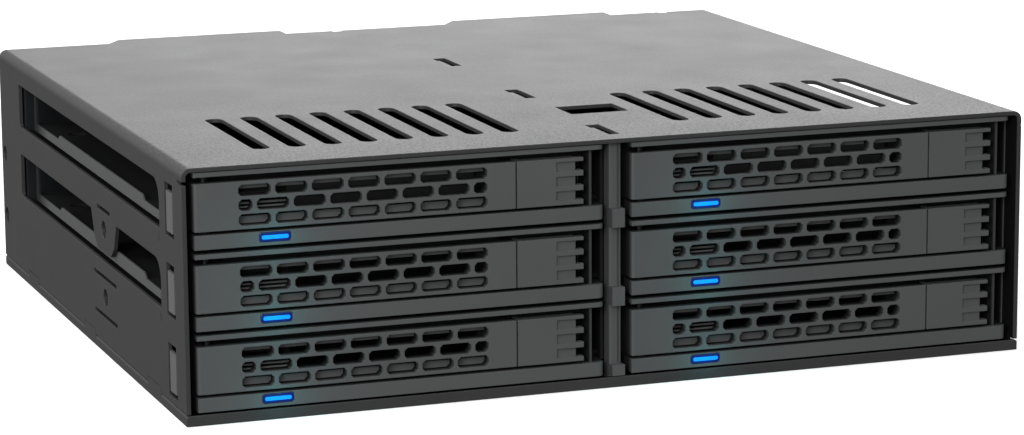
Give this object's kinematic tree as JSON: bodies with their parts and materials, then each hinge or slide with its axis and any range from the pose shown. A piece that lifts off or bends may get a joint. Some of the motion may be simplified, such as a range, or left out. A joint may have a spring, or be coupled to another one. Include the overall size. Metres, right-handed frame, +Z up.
{
  "type": "hot_swap_drive_cage_2_5_inch",
  "caption": "Hot swap cage for 2.5 inch drives that fills a half-height 5.25 inch bay, with a vented shell, pull-out trays, hinged vented handles, sliding latches, lit status lenses and rear fans.",
  "frame": {"origin": "under the middle of the whole object, on the plane its bottom rests on; X and Y centred on the extent", "axes": "+X to the right seen from the front, +Y from the tray fronts to the rear fans, +Z up out of the vented top"},
  "size_m": [0.146, 0.1464, 0.0413],
  "materials": {
    "shell_paint": "powder coat, fine texture",
    "front_plastic": "fine moulded texture",
    "board_mask": "black solder mask",
    "connector_black": "moulded",
    "connector_white": "moulded",
    "lamp_body": "clear epoxy",
    "pipe_clear": "clear, lit blue",
    "fan_plastic": "moulded",
    "screw_steel": "zinc plated",
    "pin_dark": "black oxide",
    "spring_steel": "bright strip",
    "standoff_brass": "turned"
  },
  "bodies": {
    "cage": {"top_shell": "shell_paint", "bottom_pan": "shell_paint", "centre_divider": "shell_paint", "centre_post": "front_plastic", "backplane_board": "board_mask", "drive_sockets": "connector_black", "status_lamps": "lamp_body", "data_ports": "connector_black", "supply_ports": "connector_white", "rear_panel": "shell_paint", "fan_frame_left": "fan_plastic", "fan_frame_right": "fan_plastic", "fan_screws": "screw_steel", "board_standoffs": "standoff_brass"},
    "fan_rotor_left": {"fan_rotor_left": "fan_plastic"},
    "fan_rotor_right": {"fan_rotor_right": "fan_plastic"},
    "tray_left_low": {"carrier_left_low": "front_plastic", "light_pipe_left_low": "pipe_clear", "hinge_pin_left_low": "pin_dark", "handle_spring_left_low": "spring_steel"},
    "handle_left_low": {"handle_left_low": "front_plastic"},
    "latch_left_low": {"latch_left_low": "front_plastic", "latch_spring_left_low": "spring_steel"},
    "tray_left_middle": {"carrier_left_middle": "front_plastic", "light_pipe_left_middle": "pipe_clear", "hinge_pin_left_middle": "pin_dark", "handle_spring_left_middle": "spring_steel"},
    "handle_left_middle": {"handle_left_middle": "front_plastic"},
    "latch_left_middle": {"latch_left_middle": "front_plastic", "latch_spring_left_middle": "spring_steel"},
    "tray_left_top": {"carrier_left_top": "front_plastic", "light_pipe_left_top": "pipe_clear", "hinge_pin_left_top": "pin_dark", "handle_spring_left_top": "spring_steel"},
    "handle_left_top": {"handle_left_top": "front_plastic"},
    "latch_left_top": {"latch_left_top": "front_plastic", "latch_spring_left_top": "spring_steel"},
    "tray_right_low": {"carrier_right_low": "front_plastic", "light_pipe_right_low": "pipe_clear", "hinge_pin_right_low": "pin_dark", "handle_spring_right_low": "spring_steel"},
    "handle_right_low": {"handle_right_low": "front_plastic"},
    "latch_right_low": {"latch_right_low": "front_plastic", "latch_spring_right_low": "spring_steel"},
    "tray_right_middle": {"carrier_right_middle": "front_plastic", "light_pipe_right_middle": "pipe_clear", "hinge_pin_right_middle": "pin_dark", "handle_spring_right_middle": "spring_steel"},
    "handle_right_middle": {"handle_right_middle": "front_plastic"},
    "latch_right_middle": {"latch_right_middle": "front_plastic", "latch_spring_right_middle": "spring_steel"},
    "tray_right_top": {"carrier_right_top": "front_plastic", "light_pipe_right_top": "pipe_clear", "hinge_pin_right_top": "pin_dark", "handle_spring_right_top": "spring_steel"},
    "handle_right_top": {"handle_right_top": "front_plastic"},
    "latch_right_top": {"latch_right_top": "front_plastic", "latch_spring_right_top": "spring_steel"}
  },
  "joints": [
    {"name": "tray_left_low_slide", "type": "slide", "parent": "cage", "child": "tray_left_low", "axis": [0, -1, 0], "range_m": [0, 0.112]},
    {"name": "handle_left_low_hinge", "type": "hinge", "parent": "tray_left_low", "child": "handle_left_low", "pos_m": [-0.06885, -0.0708, 0.00875], "axis": [0, 0, -1], "range_deg": [0, 90]},
    {"name": "latch_left_low_slide", "type": "slide", "parent": "tray_left_low", "child": "latch_left_low", "axis": [1, 0, 0], "range_m": [0, 0.0012], "stiffness_N_per_m": 300},
    {"name": "tray_left_middle_slide", "type": "slide", "parent": "cage", "child": "tray_left_middle", "axis": [0, -1, 0], "range_m": [0, 0.112]},
    {"name": "handle_left_middle_hinge", "type": "hinge", "parent": "tray_left_middle", "child": "handle_left_middle", "pos_m": [-0.06885, -0.0708, 0.0218], "axis": [0, 0, -1], "range_deg": [0, 90]},
    {"name": "latch_left_middle_slide", "type": "slide", "parent": "tray_left_middle", "child": "latch_left_middle", "axis": [1, 0, 0], "range_m": [0, 0.0012], "stiffness_N_per_m": 300},
    {"name": "tray_left_top_slide", "type": "slide", "parent": "cage", "child": "tray_left_top", "axis": [0, -1, 0], "range_m": [0, 0.112]},
    {"name": "handle_left_top_hinge", "type": "hinge", "parent": "tray_left_top", "child": "handle_left_top", "pos_m": [-0.06885, -0.0708, 0.03485], "axis": [0, 0, -1], "range_deg": [0, 90]},
    {"name": "latch_left_top_slide", "type": "slide", "parent": "tray_left_top", "child": "latch_left_top", "axis": [1, 0, 0], "range_m": [0, 0.0012], "stiffness_N_per_m": 300},
    {"name": "tray_right_low_slide", "type": "slide", "parent": "cage", "child": "tray_right_low", "axis": [0, -1, 0], "range_m": [0, 0.112]},
    {"name": "handle_right_low_hinge", "type": "hinge", "parent": "tray_right_low", "child": "handle_right_low", "pos_m": [0.00455, -0.0708, 0.00875], "axis": [0, 0, -1], "range_deg": [0, 90]},
    {"name": "latch_right_low_slide", "type": "slide", "parent": "tray_right_low", "child": "latch_right_low", "axis": [1, 0, 0], "range_m": [0, 0.0012], "stiffness_N_per_m": 300},
    {"name": "tray_right_middle_slide", "type": "slide", "parent": "cage", "child": "tray_right_middle", "axis": [0, -1, 0], "range_m": [0, 0.112]},
    {"name": "handle_right_middle_hinge", "type": "hinge", "parent": "tray_right_middle", "child": "handle_right_middle", "pos_m": [0.00455, -0.0708, 0.0218], "axis": [0, 0, -1], "range_deg": [0, 90]},
    {"name": "latch_right_middle_slide", "type": "slide", "parent": "tray_right_middle", "child": "latch_right_middle", "axis": [1, 0, 0], "range_m": [0, 0.0012], "stiffness_N_per_m": 300},
    {"name": "tray_right_top_slide", "type": "slide", "parent": "cage", "child": "tray_right_top", "axis": [0, -1, 0], "range_m": [0, 0.112]},
    {"name": "handle_right_top_hinge", "type": "hinge", "parent": "tray_right_top", "child": "handle_right_top", "pos_m": [0.00455, -0.0708, 0.03485], "axis": [0, 0, -1], "range_deg": [0, 90]},
    {"name": "latch_right_top_slide", "type": "slide", "parent": "tray_right_top", "child": "latch_right_top", "axis": [1, 0, 0], "range_m": [0, 0.0012], "stiffness_N_per_m": 300},
    {"name": "fan_left_spin", "type": "hinge", "parent": "cage", "child": "fan_rotor_left", "pos_m": [-0.034, 0.0648, 0.0204], "axis": [0, -1, 0], "continuous": true},
    {"name": "fan_right_spin", "type": "hinge", "parent": "cage", "child": "fan_rotor_right", "pos_m": [0.034, 0.0648, 0.0204], "axis": [0, -1, 0], "continuous": true}
  ]
}
